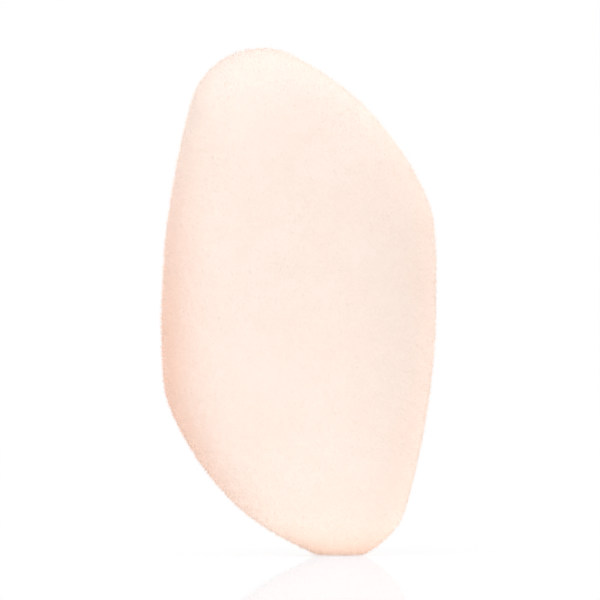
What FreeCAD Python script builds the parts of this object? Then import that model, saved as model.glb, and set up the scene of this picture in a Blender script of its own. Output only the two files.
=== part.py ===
import FreeCAD, Part
import math
import os

# A flocked makeup sponge: a rounded slab of soft foam, coated all over with glue and short flock pile.
# It stands on the flattened tip of its lower end. +Z runs up its length, X across its width and Y through
# its thickness, and its front face looks towards -Y. The origin lies on the floor under its middle.
# Lengths are in millimetres.

# Outline of the girth, seen from the front: two sharp tips and two blunt shoulders, joined by long bowed
# sides and short bowed ends. It looks the same after half a turn, so each size here serves two places.
# The upper tip leans to the left and the upper shoulder stands on the right.
tip_across = 5.4
tip_up = 26.15
tip_radius = 10.2
shoulder_across = 8.2
shoulder_up = 10.3
shoulder_radius = 11.0
side_bow_radius = 114.0
end_bow_radius = 39.3

# The two faces: domed edges that run in from the girth to a small flat crown.
# A fullness of 2 rounds the edge as an ellipse, and more makes it squarer.
thickness = 20.0
dome_run = 15.0
dome_fullness = 2.2
crown_corner_radius = 2.4
sections_per_face = 10

# The lower tip is pressed flat where the sponge stands.
rest_depth = 0.75

# The layers, from the outside in, and the room left in each bond.
pile_height = 0.5
film_thickness = 0.12
bond_clearance = 0.04

# How far down from its crown a pressed face reaches, before the girth begins.
face_depth = 3.5

# How far beyond the sponge the cutting blocks reach.
cutting_margin = 10.0


def crossing(centre_a, radius_a, centre_b, radius_b, near):
    """Of the two points where two circles seen from the front cross, the one nearer to a given point."""
    apart = centre_b - centre_a
    direction = apart * (1 / apart.Length)
    along = (radius_a**2 - radius_b**2 + apart.Length**2) / (2 * apart.Length)
    aside = math.sqrt(radius_a**2 - along**2)
    across = FreeCAD.Vector(-direction.z, 0, direction.x) * aside
    foot = centre_a + direction * along
    return min(foot + across, foot - across, key=near.distanceToPoint)


def half_turned(point):
    return FreeCAD.Vector(-point.x, point.y, -point.z)


def towards(centre, point, distance):
    """The point at a distance from a centre, in the direction of another point."""
    return centre + (point - centre).normalize() * distance


def arc(centre, radius, start, end):
    """An edge along a circle, of less than half of it."""
    midway = towards(centre, (start + end) * 0.5, radius)
    return Part.Arc(start, midway, end).toShape()


def bow_centre(bow_radius, corner, corner_radius):
    """Centre of the arc that bows from the right shoulder to another rounded corner."""
    shoulder_reach = bow_radius - shoulder_radius
    return crossing(shoulder, shoulder_reach, corner, bow_radius - corner_radius, middle)


def outline(depth, inset):
    """The closed outline at a depth below the surface and an inset from the girth, about the middle."""
    side_radius = side_bow_radius - depth - inset
    end_radius = end_bow_radius - depth - inset
    inset_share = inset / (dome_run - depth)

    def rounded_corner(girth_radius, side, near):
        """Radius and centre of the arc between a side and the upper end, sharper towards the crown."""
        radius = girth_radius - depth
        radius += (crown_corner_radius - radius) * inset_share
        return radius, crossing(side, side_radius - radius, end_centre, end_radius - radius, near)

    left_centre = half_turned(side_centre)
    shoulder_arc, shoulder_centre = rounded_corner(shoulder_radius, side_centre, shoulder)
    tip_arc, tip_centre = rounded_corner(tip_radius, left_centre, tip)

    shoulder_start = towards(side_centre, shoulder_centre, side_radius)
    shoulder_end = towards(end_centre, shoulder_centre, end_radius)
    tip_start = towards(end_centre, tip_centre, end_radius)
    tip_end = towards(left_centre, tip_centre, side_radius)

    half = [
        arc(side_centre, side_radius, half_turned(tip_end), shoulder_start),
        arc(shoulder_centre, shoulder_arc, shoulder_start, shoulder_end),
        arc(end_centre, end_radius, shoulder_end, tip_start),
        arc(tip_centre, tip_arc, tip_start, tip_end),
    ]
    other_half = [edge.copy() for edge in half]
    for edge in other_half:
        edge.rotate(middle, FreeCAD.Vector(0, 1, 0), 180)
    return Part.Wire(half + other_half)


def block(front, back, bottom, top):
    """A block wider than the sponge, used to cut it."""
    reach = half_length + cutting_margin
    size = (2 * reach, back - front, top - bottom)
    return Part.makeBox(*size, FreeCAD.Vector(-reach, front, bottom))


def pebble(depth):
    """The whole sponge's form, a depth below its surface, flat where it stands."""
    half_thickness = thickness / 2 - depth
    run = dome_run - depth
    power = 2 / dome_fullness
    sections = []
    for step in range(-sections_per_face, sections_per_face + 1):
        turn = math.pi / 2 * step / sections_per_face
        inset = run * (1 - math.cos(turn) ** power)
        along = math.copysign(half_thickness * abs(math.sin(turn)) ** power, turn)
        section = outline(depth, inset)
        section.translate(FreeCAD.Vector(0, along, middle_height))
        sections.append(section)
    form = Part.makeLoft(sections, True)
    return form.cut(block(-thickness, thickness, -cutting_margin, depth))


def slice_through(layer, front, back):
    """The part of a layer between two places along the thickness."""
    top = middle_height + half_length + cutting_margin
    return layer.common(block(front, back, -cutting_margin, top))


def export(node, shape):
    shape.exportStep(f"parts/{node}.step")


def export_layer(name, layer):
    """A layer's pressed front face, its girth and its pressed back face."""
    crown = thickness / 2
    parting = crown - face_depth
    far = crown + cutting_margin
    export(f"front_{name}", slice_through(layer, -far, -parting))
    export(f"girth_{name}", slice_through(layer, -parting, parting))
    export(f"back_{name}", slice_through(layer, parting, far))


middle = FreeCAD.Vector(0, 0, 0)
tip = FreeCAD.Vector(-tip_across, 0, tip_up)
shoulder = FreeCAD.Vector(shoulder_across, 0, shoulder_up)
side_centre = bow_centre(side_bow_radius, half_turned(tip), tip_radius)
end_centre = bow_centre(end_bow_radius, tip, tip_radius)
half_length = tip_up + tip_radius
middle_height = half_length - rest_depth

film_depth = pile_height + bond_clearance
core_depth = film_depth + film_thickness + bond_clearance

os.makedirs("parts", exist_ok=True)
export_layer("flock", pebble(0).cut(pebble(pile_height)))
export_layer("adhesive", pebble(film_depth).cut(pebble(film_depth + film_thickness)))
export("foam_core", pebble(core_depth))
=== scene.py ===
import math

import bmesh
import bpy
import numpy as np
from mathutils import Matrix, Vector, noise


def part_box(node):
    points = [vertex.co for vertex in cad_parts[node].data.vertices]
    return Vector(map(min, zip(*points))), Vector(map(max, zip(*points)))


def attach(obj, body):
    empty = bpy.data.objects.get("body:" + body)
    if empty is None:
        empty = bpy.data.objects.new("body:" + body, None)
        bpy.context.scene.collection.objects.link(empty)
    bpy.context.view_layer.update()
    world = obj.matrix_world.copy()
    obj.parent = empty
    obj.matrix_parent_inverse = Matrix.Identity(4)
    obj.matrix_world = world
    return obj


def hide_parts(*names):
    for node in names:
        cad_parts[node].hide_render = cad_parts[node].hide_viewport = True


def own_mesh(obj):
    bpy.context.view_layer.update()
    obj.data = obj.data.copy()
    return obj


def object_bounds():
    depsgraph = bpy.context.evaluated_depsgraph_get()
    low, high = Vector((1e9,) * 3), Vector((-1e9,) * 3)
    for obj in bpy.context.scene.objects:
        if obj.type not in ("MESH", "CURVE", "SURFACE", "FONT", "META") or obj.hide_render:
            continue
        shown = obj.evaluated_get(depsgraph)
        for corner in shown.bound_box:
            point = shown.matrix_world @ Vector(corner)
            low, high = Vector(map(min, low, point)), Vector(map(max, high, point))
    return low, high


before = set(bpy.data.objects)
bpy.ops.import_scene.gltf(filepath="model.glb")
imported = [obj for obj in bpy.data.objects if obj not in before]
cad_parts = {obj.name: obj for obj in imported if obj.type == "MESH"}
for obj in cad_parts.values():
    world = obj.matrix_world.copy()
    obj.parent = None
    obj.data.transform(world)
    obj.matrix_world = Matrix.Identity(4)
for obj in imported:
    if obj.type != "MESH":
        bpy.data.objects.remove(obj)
cad_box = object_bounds()

# Lengths are in metres. +Z runs up the sponge, the front face looks towards -Y.
mm = 0.001

# The coats of the sponge lie in three zones, each carried by a body.
zone_bodies = {"front": "front_face", "girth": "sponge_body", "back": "back_face"}
zones = tuple(zone_bodies)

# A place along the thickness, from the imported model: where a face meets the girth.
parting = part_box("girth_flock")[1].y

# The pile: a dense mat of fibres, and the separate tips that stand out of it, the longest of them up to
# half a millimetre past the CAD surface.
pile_face_size = 0.3 * mm
mat_depth = 0.16 * mm
mat_thickness = 0.3 * mm
tips_per_square_mm = 17
tip_reach = (0.12 * mm, 0.62 * mm)
tip_root_depth = 0.08 * mm
tip_root_radius = 0.034 * mm
tip_lean = 0.4
fibre_seed = 11

# The pile parts at the lower left shoulder and leans away from there. Round the parting its colour takes
# painted shade, deeper and warmer, as on a side turned from the light: less and less between these distances
# from it, and more between these shares of facing left, up to this share.
parting_and_shade_middle = np.array((cad_box[0].x, 0, 25 * mm))
shoulder_shade_reach = (0, 46 * mm)
shoulder_shade_facing = (0.2, 0.95)
shoulder_shade_share = 0.9
nap_lean = 0.25

# Below this height, where the sponge stands, its colour takes painted shade towards the floor, up to this
# share. The form gives there as well: it draws in towards a place on the floor by up to this share.
pressed_and_shaded_height = 6 * mm
low_shade_share = 0.5
pressed_middle = Vector((8.2 * mm, 0, 0))
pressed_share = 0.165

# The mat's surface isn't quite even: (length, height) of its swells, its clumps of fibres and its grain.
mat_relief = ((11 * mm, 0.09 * mm), (2.6 * mm, 0.045 * mm), (0.9 * mm, 0.045 * mm))

# The glue film and the foam under it, whose surfaces lie where the CAD solids have them.
film_face_size = 0.6 * mm
film_thickness = 0.1 * mm
film_relief = ((3.0 * mm, 0.01 * mm),)
foam_face_size = 0.36 * mm
foam_relief = ((1.4 * mm, 0.07 * mm), (0.75 * mm, 0.06 * mm))
under_coat_depth = 0

# How meshes are made: points closer than this are one, how the CAD facets are smoothed out, how far off a
# cut a point still counts as on it, and twice the area of a face that is too small to have a normal.
merge_distance = 0.002 * mm
smoothing_share = 0.5
smoothing_rounds = 14
cut_tolerance = 1e-9
smallest_face = 1e-20

# The flat map of a piece: its cells across and up, the margin in each cell, and how many times larger than
# life the fibre tips are in it.
map_name = "OFBake"
map_cells = np.array((3, 2))
map_margin = 0.02
tip_map_spread = 3

# Colours are linear: the pile, its deeper colour for painted shade and for random clouds, the foam and the
# glue.
pile_colour = (0.955, 0.852, 0.771)
shade_and_cloud_colour = (0.965, 0.70, 0.57)
foam_colour = (0.86, 0.66, 0.54)
film_colour = (0.80, 0.58, 0.47)

# The span that most noise lies in, and the detail of fine noise.
noise_span = (0.3, 0.7)
fine_detail = 3

# The look of the pile: clouds of its deeper colour, darker and lighter grain, painted light that makes each
# tip a little lighter towards its point, tips that differ from each other, a sheen, and (length, height,
# strength) of its finest bumps.
cloud_length = 9 * mm
cloud_share = 0.12
grain_length = 0.32 * mm
grain_span = (0.25, 0.75)
grain_shades = (0.968, 1.012)
tip_painted_light = 0.02
tip_own_shade = 0.02
pile_roughness = 0.95
pile_specular = 0.05
pile_sheen = 0.5
pile_sheen_roughness = 0.4
pile_sheen_tint = (1.0, 0.97, 0.95)
pile_bump = (0.28 * mm, 0.05 * mm, 0.35)

# The look of the glue: streaks, and (length, height, strength) of its ripples.
film_roughness = 0.45
streak_length = 2.5 * mm
streak_shades = (0.93, 1.04)
film_bump = (0.6 * mm, 0.03 * mm, 0.3)

# The look of the foam: pores, their painted shade from the wall to the middle, and how much the walls stand
# out.
foam_roughness = 0.9
pore_size = 0.55 * mm
pore_span = (0.02, 0.25)
pore_painted_shades = (1.05, 0.78)
pore_bump = (0.15 * mm, 0.6)

# The view: the camera looks along +Y from far away, and sees this width at the sponge's middle.
view_width = 85.1 * mm
view_middle = Vector((0.18 * mm, 0, 36.2 * mm))
camera_distance = 1.0
sensor_width = 36.0

# The lamps: azimuth from the camera towards +X and elevation in degrees, the level that a lamp gives to a
# white surface that faces it, and its tint.
lamp_distance = 0.6
lamp_side = 0.45
lamps = {
    "key": (-20, 47, 0.56, (1.0, 1.015, 1.05)),
    "right": (114, 14, 0.47, (1.08, 0.90, 0.82)),
    "top": (5, 82, 0.21, (0.95, 1.0, 1.2)),
    "left": (-115, 62, 0.09, (1.15, 1.0, 0.96)),
}

# The soft light from all round, which is dimmer and warmer from low on the left, and how much stronger it
# is from behind than from the sides.
ambient_colour = (1.0, 0.945, 0.91)
ambient_left_colour = (0.68, 0.40, 0.22)
ambient_left_direction = (-0.9, 0, -0.44)
ambient_level = 0.472
backdrop_level = 0.075

# The table glows in front of the sponge and under it, each glow with its middle, its reach and its level.
table_side = 3.0
table_gap = 0.01 * mm
table_bounce = 0.9
table_glows = (
    ((10 * mm, -25 * mm, 0), (10 * mm, 75 * mm), 0.28),
    ((1 * mm, 0, 0), (2 * mm, 18 * mm), 0.13),
)

# The table shows a faint mirror image, strongest in red, so that the peach sponge looks nearly grey in it.
table_mirror = (0.38, 0.23, 0.17)
table_mirror_roughness = 0.03

# The table shows a shadow near the sponge and a deeper one where it stands, each with its middle, its reach
# and the share of the light that the table gives back there. The light has this level on the open table.
table_light = 1.04
table_shadows = (
    ((4 * mm, -12 * mm, 0), (15 * mm, 70 * mm), 0.07),
    ((5.4 * mm, -6 * mm, 0), (3 * mm, 9 * mm), 0.35),
)


# Meshes

def hull(name, nodes):
    """The outer surface of some CAD nodes: their convex hull, because the sponge bulges everywhere."""
    shape = bmesh.new()
    for node in nodes:
        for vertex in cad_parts[node].data.vertices:
            shape.verts.new(vertex.co)
    bmesh.ops.remove_doubles(shape, verts=shape.verts, dist=merge_distance)
    found = bmesh.ops.convex_hull(shape, input=shape.verts)
    inside = set(found["geom_interior"] + found["geom_unused"])
    inside = [part for part in inside if isinstance(part, bmesh.types.BMVert)]
    bmesh.ops.delete(shape, geom=inside, context="VERTS")
    mesh = bpy.data.meshes.new(name)
    shape.to_mesh(mesh)
    shape.free()
    return mesh


def evened(surface, face_size):
    """The same closed surface in small even faces, with the CAD facets smoothed out."""
    target = bpy.data.objects.new("target", surface)
    even = bpy.data.objects.new("even", surface)
    for holder in (target, even):
        bpy.context.scene.collection.objects.link(holder)
    remesh = even.modifiers.new("remesh", "REMESH")
    remesh.mode = "VOXEL"
    remesh.voxel_size = face_size
    snap = even.modifiers.new("snap", "SHRINKWRAP")
    snap.target = target
    snap.wrap_method = "NEAREST_SURFACEPOINT"
    smooth = even.modifiers.new("smooth", "SMOOTH")
    smooth.factor = smoothing_share
    smooth.iterations = smoothing_rounds
    made = even.evaluated_get(bpy.context.evaluated_depsgraph_get())
    mesh = bpy.data.meshes.new_from_object(made)
    for holder in (even, target):
        bpy.data.objects.remove(holder)
    return mesh


def relief_at(point, relief):
    """How far the surface stands out at a point, from smooth noise of several sizes."""
    return sum(height * noise.noise(point / length) for length, height in relief)


def drawn_in(point):
    """A point near the floor, moved aside as the sponge's weight moves it."""
    low = max(0, 1 - point.z / pressed_and_shaded_height)
    target = Vector((pressed_middle.x, pressed_middle.y, point.z))
    return point.lerp(target, pressed_share * low**2)


def surface_points(mesh, depth, relief):
    """A mesh's points, moved inwards by a depth and out by a relief, but never through the floor."""
    moved = []
    for vertex in mesh.vertices:
        point = drawn_in(vertex.co + vertex.normal * (relief_at(vertex.co, relief) - depth))
        point.z = max(point.z, 0)
        moved.append(point)
    return moved


def skin(name, nodes, face_size, depth, relief):
    """The outer surface of some CAD nodes in even faces, at a depth below it and with a relief."""
    mesh = evened(hull(name, nodes), face_size)
    for vertex, point in zip(mesh.vertices, surface_points(mesh, depth, relief)):
        vertex.co = point
    mesh.update()
    return mesh


def split(mesh):
    """A skin cut where the faces meet the girth: the points, normals and faces of each zone."""
    shape = bmesh.new()
    shape.from_mesh(mesh)
    for place in (-parting, parting):
        whole = shape.verts[:] + shape.edges[:] + shape.faces[:]
        bmesh.ops.bisect_plane(
            shape, geom=whole, plane_co=(0, place, 0), plane_no=(0, 1, 0), dist=cut_tolerance
        )
    bmesh.ops.triangulate(shape, faces=shape.faces)
    shape.normal_update()
    shape.verts.index_update()
    points = np.array([vertex.co for vertex in shape.verts])
    normals = np.array([vertex.normal for vertex in shape.verts])
    faces = np.array([[vertex.index for vertex in face.verts] for face in shape.faces])
    shape.free()
    face_middles = points[faces].mean(axis=1)
    zone_of = np.digitize(face_middles[:, 1], (-parting, parting))
    found = {}
    for number, zone in enumerate(zones):
        used, renumbered = np.unique(faces[zone_of == number], return_inverse=True)
        found[zone] = (points[used], normals[used], renumbered.reshape(-1, 3))
    return found


def thick_layer(points, normals, faces, thickness):
    """A skin's points, normals and faces closed to a layer, with walls at its free edges."""
    count = len(points)
    edges = np.concatenate([faces[:, [0, 1]], faces[:, [1, 2]], faces[:, [2, 0]]])
    lone = {}
    for start, end in edges.tolist():
        if lone.pop((end, start), None) is None:
            lone[(start, end)] = True
    rim = np.array(list(lone)).reshape(-1, 2)
    walls = [
        np.stack([rim[:, 1], rim[:, 0], rim[:, 0] + count], axis=1),
        np.stack([rim[:, 1], rim[:, 0] + count, rim[:, 1] + count], axis=1),
    ]
    inner = faces[:, ::-1] + count
    return (
        np.concatenate([points, points - normals * thickness]),
        np.concatenate([normals, -normals]),
        np.concatenate([faces, inner, *walls]),
    )


def add_mesh(name, points, faces, normals=None):
    """A new object made of triangles, shaded smoothly, with normals of its own where they are given."""
    mesh = bpy.data.meshes.new(name)
    mesh.vertices.add(len(points))
    mesh.vertices.foreach_set("co", np.asarray(points, np.float32).ravel())
    mesh.loops.add(faces.size)
    mesh.loops.foreach_set("vertex_index", faces.astype(np.int32).ravel())
    mesh.polygons.add(len(faces))
    mesh.polygons.foreach_set("loop_start", np.arange(0, faces.size, 3, dtype=np.int32))
    mesh.polygons.foreach_set("use_smooth", np.ones(len(faces), bool))
    mesh.update(calc_edges=True)
    mesh.validate()
    if normals is not None:
        mesh.normals_split_custom_set_from_vertices(normals)
    piece = bpy.data.objects.new(name, mesh)
    bpy.context.scene.collection.objects.link(piece)
    return piece


def lay_out(piece, points, faces, normals):
    """A flat map of a piece: each face is seen along the axis that it faces most, in one of six cells."""
    size = max(cad_box[1] - cad_box[0])
    axis = np.abs(normals).argmax(axis=1)
    sign = np.take_along_axis(normals, axis[:, None], axis=1)[:, 0] > 0
    # The axes that lie across and up the map, for a face seen along X, Y or Z.
    across = np.array([1, 0, 0])[axis]
    up = np.array([2, 2, 1])[axis]
    corners = (points[faces] - np.array(cad_box[0])) / size
    each = np.arange(len(faces))[:, None]
    corner = np.arange(3)[None, :]
    flat = np.stack([corners[each, corner, across[:, None]], corners[each, corner, up[:, None]]], axis=2)
    cell = np.stack([axis, sign.astype(int)], axis=1)[:, None, :]
    flat = (cell + map_margin + (1 - 2 * map_margin) * flat) / map_cells
    layer = piece.data.uv_layers.new(name=map_name)
    layer.data.foreach_set("uv", flat.astype(np.float32).ravel())


def spanned(points, faces):
    """A vector square to each face, as long as twice the face's area."""
    a, b, c = (points[faces[:, corner]] for corner in range(3))
    return np.cross(b - a, c - a)


def face_normals(points, faces):
    square = spanned(points, faces)
    return square / np.maximum(np.linalg.norm(square, axis=1, keepdims=True), smallest_face)


def unit(vectors):
    """Vectors of length 1 in the same directions."""
    return vectors / np.linalg.norm(vectors, axis=1, keepdims=True)


def add_values(piece, name, values):
    """A number for each of a mesh's points, which its material reads by name."""
    attribute = piece.data.attributes.new(name, "FLOAT", "POINT")
    attribute.data.foreach_set("value", values.astype(np.float32))


def smooth_step(values, low, high):
    """0 below a low value and 1 above a high one, with a soft rise between them."""
    share = np.clip((values - low) / (high - low), 0, 1)
    return share * share * (3 - 2 * share)


def painted_shade_at(points, normals):
    """How much painted shade each point takes, between 0 and 1: round the lower left shoulder and low down.
    """
    apart = np.linalg.norm(points - parting_and_shade_middle, axis=1)
    near = 1 - smooth_step(apart, *shoulder_shade_reach)
    # Painted shade round the lower left shoulder, for the side turned from the light.
    shoulder_shade = shoulder_shade_share * near * smooth_step(-normals[:, 0], *shoulder_shade_facing)
    # Painted shade low down, where the sponge stands.
    low_shade = low_shade_share * (1 - smooth_step(points[:, 2], 0, pressed_and_shaded_height))
    return np.maximum(shoulder_shade, low_shade)


def spread_evenly(points, normals, faces, random):
    """The roots of fibre tips, one in each equal share of a skin's area, and the skin's normals there."""
    areas = np.linalg.norm(spanned(points, faces), axis=1) / 2
    count = int(areas.sum() / mm**2 * tips_per_square_mm)
    places = (np.arange(count) + random.uniform(0, 1, count)) / count * areas.sum()
    chosen = np.minimum(np.searchsorted(np.cumsum(areas), places), len(faces) - 1)
    shares = random.dirichlet((1, 1, 1), count)[:, :, None]
    roots = (points[faces[chosen]] * shares).sum(axis=1)
    return roots, unit((normals[faces[chosen]] * shares).sum(axis=1))


def tip_corners(roots, upright, random):
    """Four corners for each fibre tip: three round its root, inside the mat, and its point."""
    count = len(roots)
    combed = unit(roots - parting_and_shade_middle)
    lean = unit(upright + combed * nap_lean + random.normal(0, tip_lean, (count, 3)))
    shortest, longest = tip_reach
    reach = shortest + (longest - shortest) * random.uniform(0, 1, (count, 1)) ** 2
    side = unit(np.cross(lean, random.normal(0, 1, (count, 3))))
    other = np.cross(lean, side)
    spokes = [side * math.cos(turn) + other * math.sin(turn) for turn in np.arange(3) * math.tau / 3]
    ring = [roots - upright * tip_root_depth + spoke * tip_root_radius for spoke in spokes]
    corners = np.stack([*ring, roots + lean * reach], axis=1)
    corners[:, :, 2] = np.maximum(corners[:, :, 2], 0)
    return corners


def fibre_tips(name, points, normals, faces, random):
    """Short pointed fibres that stand on a skin, closed at the root, each leaning its own way."""
    roots, upright = spread_evenly(points, normals, faces, random)
    corners = tip_corners(roots, upright, random)
    count = len(roots)
    at_point = [0, 0, 0, 1]
    sides = np.array([[0, 1, 3], [1, 2, 3], [2, 0, 3], [2, 1, 0]])
    all_faces = (np.arange(count)[:, None, None] * len(at_point) + sides).reshape(-1, 3)
    piece = add_mesh(name, corners.reshape(-1, 3), all_faces)
    piece.data.shade_flat()
    spread = roots[:, None, :] + (corners - roots[:, None, :]) * tip_map_spread
    lay_out(piece, spread.reshape(-1, 3), all_faces, np.repeat(upright, len(sides), axis=0))
    add_values(piece, "tip", np.tile(at_point, count))
    add_values(piece, "shade", np.repeat(random.uniform(-1, 1, count), len(at_point)))
    # Each tip takes the painted shade of its root.
    add_values(piece, "painted_shade", np.repeat(painted_shade_at(roots, upright), len(at_point)))
    return piece


# Materials

class Look:
    """A material's nodes, with the finished surface in shader."""

    def __init__(self, name, roughness):
        self.material = bpy.data.materials.new(name)
        self.material.use_nodes = True
        self.tree = self.material.node_tree
        self.shader = self.tree.nodes["Principled BSDF"]
        self.shader.inputs["Roughness"].default_value = roughness
        self.place = self.node("ShaderNodeTexCoord").outputs["Object"]

    def node(self, kind, inputs=(), **settings):
        """A new node with its settings and with what its inputs take."""
        made = self.tree.nodes.new(kind)
        for setting, value in settings.items():
            setattr(made, setting, value)
        for socket, value in dict(inputs).items():
            self.feed(made.inputs[socket], value)
        return made

    def feed(self, socket, value):
        """A socket takes another node's output or a plain value."""
        if isinstance(value, bpy.types.NodeSocket):
            self.tree.links.new(value, socket)
        else:
            socket.default_value = value

    def point_value(self, name):
        """What add_values gave to the mesh under a name, or 0 on a mesh without it."""
        return self.node("ShaderNodeAttribute", attribute_name=name).outputs["Fac"]

    def noise(self, length, detail=2):
        """Noise between 0 and 1 whose swells are about a length apart."""
        inputs = {"Vector": self.place, "Scale": 1 / length, "Detail": detail}
        return self.node("ShaderNodeTexNoise", inputs).outputs["Fac"]

    def ranged(self, value, span, new_span):
        """A value moved from one span to another, and held within it."""
        low, high = span
        new_low, new_high = new_span
        inputs = {"Value": value, "From Min": low, "From Max": high, "To Min": new_low, "To Max": new_high}
        return self.node("ShaderNodeMapRange", inputs).outputs["Result"]

    def calculated(self, operation, *values):
        return self.node("ShaderNodeMath", enumerate(values), operation=operation).outputs[0]

    def mixed(self, share, first, second):
        made = self.node("ShaderNodeMix", data_type="RGBA")
        by_name = {"Factor_Float": share, "A_Color": first, "B_Color": second}
        for socket in made.inputs:
            if socket.identifier in by_name:
                self.feed(socket, by_name[socket.identifier])
        return next(out for out in made.outputs if out.identifier == "Result_Color")

    def shaded(self, colour, value):
        """A colour made lighter or darker by a value about 1."""
        inputs = {0: colour, "Scale": value}
        return self.node("ShaderNodeVectorMath", inputs, operation="SCALE").outputs["Vector"]

    def bump(self, height, distance, strength):
        inputs = {"Height": height, "Distance": distance, "Strength": strength}
        self.feed(self.shader.inputs["Normal"], self.node("ShaderNodeBump", inputs).outputs["Normal"])


def solid_colour(colour):
    return (*colour, 1)


def flock_look():
    """Short matt fibres: fine grain, faint clouds of warmer colour, and a soft sheen at the edges."""
    look = Look("flock_pile", pile_roughness)
    clouds = look.ranged(look.noise(cloud_length), noise_span, (0, cloud_share))
    # The deeper colour shows in random clouds and as the painted shade that the mesh carries.
    share = look.calculated("MAXIMUM", look.point_value("painted_shade"), clouds)
    colour = look.mixed(share, solid_colour(pile_colour), solid_colour(shade_and_cloud_colour))
    grain = look.noise(grain_length, fine_detail)
    colour = look.shaded(colour, look.ranged(grain, grain_span, grain_shades))
    # Painted light: each tip is a little lighter towards its point, against the shade among the fibres.
    lighter = look.calculated("MULTIPLY_ADD", look.point_value("tip"), tip_painted_light, 1)
    own = look.calculated("MULTIPLY_ADD", look.point_value("shade"), tip_own_shade, lighter)
    look.feed(look.shader.inputs["Base Color"], look.shaded(colour, own))
    look.shader.inputs["Specular IOR Level"].default_value = pile_specular
    look.shader.inputs["Sheen Weight"].default_value = pile_sheen
    look.shader.inputs["Sheen Roughness"].default_value = pile_sheen_roughness
    look.shader.inputs["Sheen Tint"].default_value = solid_colour(pile_sheen_tint)
    length, height, strength = pile_bump
    look.bump(look.noise(length, fine_detail), height, strength)
    return look.material


def film_look():
    """Dried flocking glue: a smooth, faintly rippled film."""
    look = Look("flock_glue", film_roughness)
    streaks = look.ranged(look.noise(streak_length, fine_detail), noise_span, streak_shades)
    look.feed(look.shader.inputs["Base Color"], look.shaded(film_colour, streaks))
    length, height, strength = film_bump
    look.bump(look.noise(length), height, strength)
    return look.material


def foam_look():
    """Fine open-cell foam: pale walls round pores with painted shade, darker to their middles."""
    look = Look("open_cell_foam", foam_roughness)
    inputs = {"Vector": look.place, "Scale": 1 / pore_size}
    cells = look.node("ShaderNodeTexVoronoi", inputs, feature="DISTANCE_TO_EDGE").outputs["Distance"]
    # Painted shade: darker towards each pore's middle.
    walls = look.ranged(cells, pore_span, pore_painted_shades)
    look.feed(look.shader.inputs["Base Color"], look.shaded(foam_colour, walls))
    look.bump(cells, *pore_bump)
    look.tree.nodes["Bump"].invert = True
    return look.material


# Pieces

def squash(piece):
    """Gives a piece its own copy of its mesh."""
    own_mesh(piece)


def finish_piece(piece, zone, material, stands_for=()):
    piece.data.materials.append(material)
    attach(piece, zone_bodies[zone])
    if stands_for:
        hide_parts(*stands_for)
    squash(piece)


def coat(layer, name, face_size, depth, thickness, relief, material):
    """A coat over the whole sponge in its three zones, which stand for the CAD layer's nodes."""
    nodes = [f"{zone}_{layer}" for zone in zones]
    parts = split(skin(name, nodes, face_size, depth, relief))
    for zone, node in zip(zones, nodes):
        points, normals, faces = thick_layer(*parts[zone], thickness)
        piece = add_mesh(f"{zone}_{name}", points, faces, normals)
        # The painted shade at each point of the coat.
        add_values(piece, "painted_shade", painted_shade_at(points, normals))
        lay_out(piece, points, faces, face_normals(points, faces))
        finish_piece(piece, zone, material, [node])
    return parts


def make_pile():
    flock = flock_look()
    parts = coat("flock", "pile", pile_face_size, mat_depth, mat_thickness, mat_relief, flock)
    random = np.random.default_rng(fibre_seed)
    for zone in zones:
        tips = fibre_tips(f"{zone}_fibre_tips", *parts[zone], random)
        finish_piece(tips, zone, flock)


def make_film():
    coat(
        "adhesive", "glue_film", film_face_size, under_coat_depth, film_thickness, film_relief,
        film_look(),
    )


def make_core():
    mesh = skin("core", ["foam_core"], foam_face_size, under_coat_depth, foam_relief)
    mesh.calc_loop_triangles()
    points = np.array([vertex.co for vertex in mesh.vertices])
    faces = np.array([triangle.vertices[:] for triangle in mesh.loop_triangles])
    core = add_mesh("soft_foam_core", points, faces)
    lay_out(core, points, faces, face_normals(points, faces))
    finish_piece(core, "girth", foam_look(), ["foam_core"])


# Stage, light and camera

def aim(holder, target):
    holder.rotation_euler = (target - holder.location).to_track_quat("-Z", "Y").to_euler()


def make_camera():
    camera = bpy.data.cameras.new("camera")
    camera.sensor_width = sensor_width
    camera.lens = sensor_width * camera_distance / view_width
    holder = bpy.data.objects.new("camera", camera)
    holder.location = view_middle - Vector((0, camera_distance, 0))
    aim(holder, view_middle)
    bpy.context.scene.collection.objects.link(holder)
    bpy.context.scene.camera = holder


def make_lamps():
    for name, (azimuth, elevation, level, tint) in lamps.items():
        light = bpy.data.lights.new(name, "AREA")
        light.size = lamp_side
        light.color = tint
        light.energy = level * math.pi**2 * lamp_distance**2
        holder = bpy.data.objects.new(name, light)
        turn = math.radians(azimuth)
        rise = math.radians(elevation)
        away = Vector((math.sin(turn) * math.cos(rise), -math.cos(turn) * math.cos(rise), math.sin(rise)))
        holder.location = view_middle + away * lamp_distance
        aim(holder, view_middle)
        holder.visible_camera = False
        bpy.context.scene.collection.objects.link(holder)


def seen_directly(nodes, links):
    """1 for what the camera sees, itself or in a mirror or through glass, and 0 for light on the object."""
    path = nodes.new("ShaderNodeLightPath")
    seen = path.outputs["Is Camera Ray"]
    for kind in ("Is Glossy Ray", "Is Transmission Ray"):
        either = nodes.new("ShaderNodeMath")
        either.operation = "MAXIMUM"
        links.new(seen, either.inputs[0])
        links.new(path.outputs[kind], either.inputs[1])
        seen = either.outputs[0]
    return seen


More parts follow.
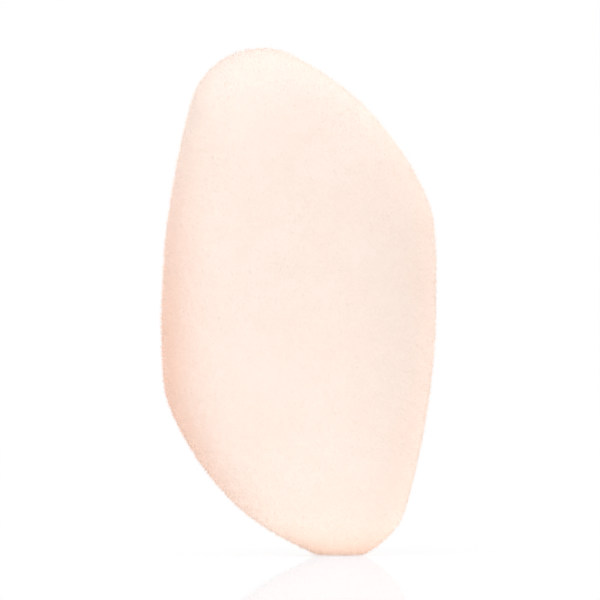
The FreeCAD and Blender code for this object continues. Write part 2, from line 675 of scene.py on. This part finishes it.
def make_world():
    """White where the camera sees it, and soft light of uneven colour and level on the object."""
    world = bpy.data.worlds.new("studio")
    bpy.context.scene.world = world
    world.use_nodes = True
    nodes, links = world.node_tree.nodes, world.node_tree.links
    soft = nodes["Background"]
    place = nodes.new("ShaderNodeTexCoord").outputs["Generated"]

    from_left = nodes.new("ShaderNodeVectorMath")
    from_left.operation = "DOT_PRODUCT"
    links.new(place, from_left.inputs[0])
    from_left.inputs[1].default_value = ambient_left_direction
    tint = nodes.new("ShaderNodeValToRGB")
    tint.color_ramp.elements[0].color = solid_colour(ambient_colour)
    tint.color_ramp.elements[1].color = solid_colour(ambient_left_colour)
    links.new(from_left.outputs["Value"], tint.inputs["Fac"])
    links.new(tint.outputs["Color"], soft.inputs["Color"])

    direction = nodes.new("ShaderNodeSeparateXYZ")
    links.new(place, direction.inputs[0])
    level = nodes.new("ShaderNodeMath")
    level.operation = "MULTIPLY_ADD"
    links.new(direction.outputs["Y"], level.inputs[0])
    level.inputs[1].default_value = backdrop_level
    level.inputs[2].default_value = ambient_level
    links.new(level.outputs[0], soft.inputs["Strength"])

    white = nodes.new("ShaderNodeBackground")
    white.inputs["Color"].default_value = (1, 1, 1, 1)
    white.inputs["Strength"].default_value = 1
    mix = nodes.new("ShaderNodeMixShader")
    links.new(seen_directly(nodes, links), mix.inputs[0])
    links.new(soft.outputs[0], mix.inputs[1])
    links.new(white.outputs[0], mix.inputs[2])
    links.new(mix.outputs[0], nodes["World Output"].inputs["Surface"])


def table_look():
    """A white light table: it keeps a soft shadow and a faint mirror image, and glows under the sponge."""
    material = bpy.data.materials.new("light_table")
    material.use_nodes = True
    nodes, links = material.node_tree.nodes, material.node_tree.links
    nodes.remove(nodes["Principled BSDF"])

    def shader(kind, tint, **inputs):
        made = nodes.new(kind)
        made.inputs["Color"].default_value = solid_colour(tint)
        for socket, value in inputs.items():
            made.inputs[socket].default_value = value
        return made.outputs[0]

    def joined(kind, *parts):
        made = nodes.new(kind)
        for socket, part in zip(made.inputs, parts):
            links.new(part, socket)
        return made.outputs[0]

    def near(middle, reach, level):
        """A level within a distance of a place on the table, fading to none further out."""
        apart = nodes.new("ShaderNodeVectorMath")
        apart.operation = "DISTANCE"
        links.new(nodes.new("ShaderNodeNewGeometry").outputs["Position"], apart.inputs[0])
        apart.inputs[1].default_value = middle
        fade = nodes.new("ShaderNodeMapRange")
        fade.interpolation_type = "SMOOTHSTEP"
        links.new(apart.outputs["Value"], fade.inputs["Value"])
        for socket, value in zip(("From Min", "From Max", "To Min", "To Max"), (*reach, level, 0)):
            fade.inputs[socket].default_value = value
        return fade.outputs["Result"]

    def grey(level):
        return (level, level, level)

    def white_left(lit_share):
        """The white that the table gives by itself, beside its mirror image and the light it gives back."""
        return [1 - mirrored - lit_share * table_light for mirrored in table_mirror]

    light = shader("ShaderNodeBsdfDiffuse", grey(table_bounce))
    for middle, reach, level in table_glows:
        glow = shader("ShaderNodeEmission", grey(1))
        links.new(near(middle, reach, level), glow.node.inputs["Strength"])
        light = joined("ShaderNodeAddShader", light, glow)

    cover = shader("ShaderNodeEmission", white_left(0))
    for middle, reach, share in table_shadows:
        white = shader("ShaderNodeEmission", white_left(share))
        lit = shader("ShaderNodeBsdfDiffuse", grey(share))
        close = joined("ShaderNodeAddShader", white, lit)
        cover = joined("ShaderNodeMixShader", near(middle, reach, 1), cover, close)
    mirror = shader("ShaderNodeBsdfGlossy", table_mirror, Roughness=table_mirror_roughness)
    seen = joined("ShaderNodeAddShader", cover, mirror)

    both = joined("ShaderNodeMixShader", seen_directly(nodes, links), light, seen)
    links.new(both, nodes["Material Output"].inputs["Surface"])
    return material


def make_table():
    half = table_side / 2
    turns = ((-1, -1), (1, -1), (1, 1), (-1, 1))
    corners = [(across * half, along * half, -table_gap) for across, along in turns]
    mesh = bpy.data.meshes.new("table")
    mesh.from_pydata(corners, [], [range(4)])
    mesh.materials.append(table_look())
    table = bpy.data.objects.new("table", mesh)
    bpy.context.scene.collection.objects.link(table)


make_camera()
make_lamps()
make_world()
make_table()
make_pile()
make_film()
make_core()
bpy.context.scene.view_settings.view_transform = "Standard"
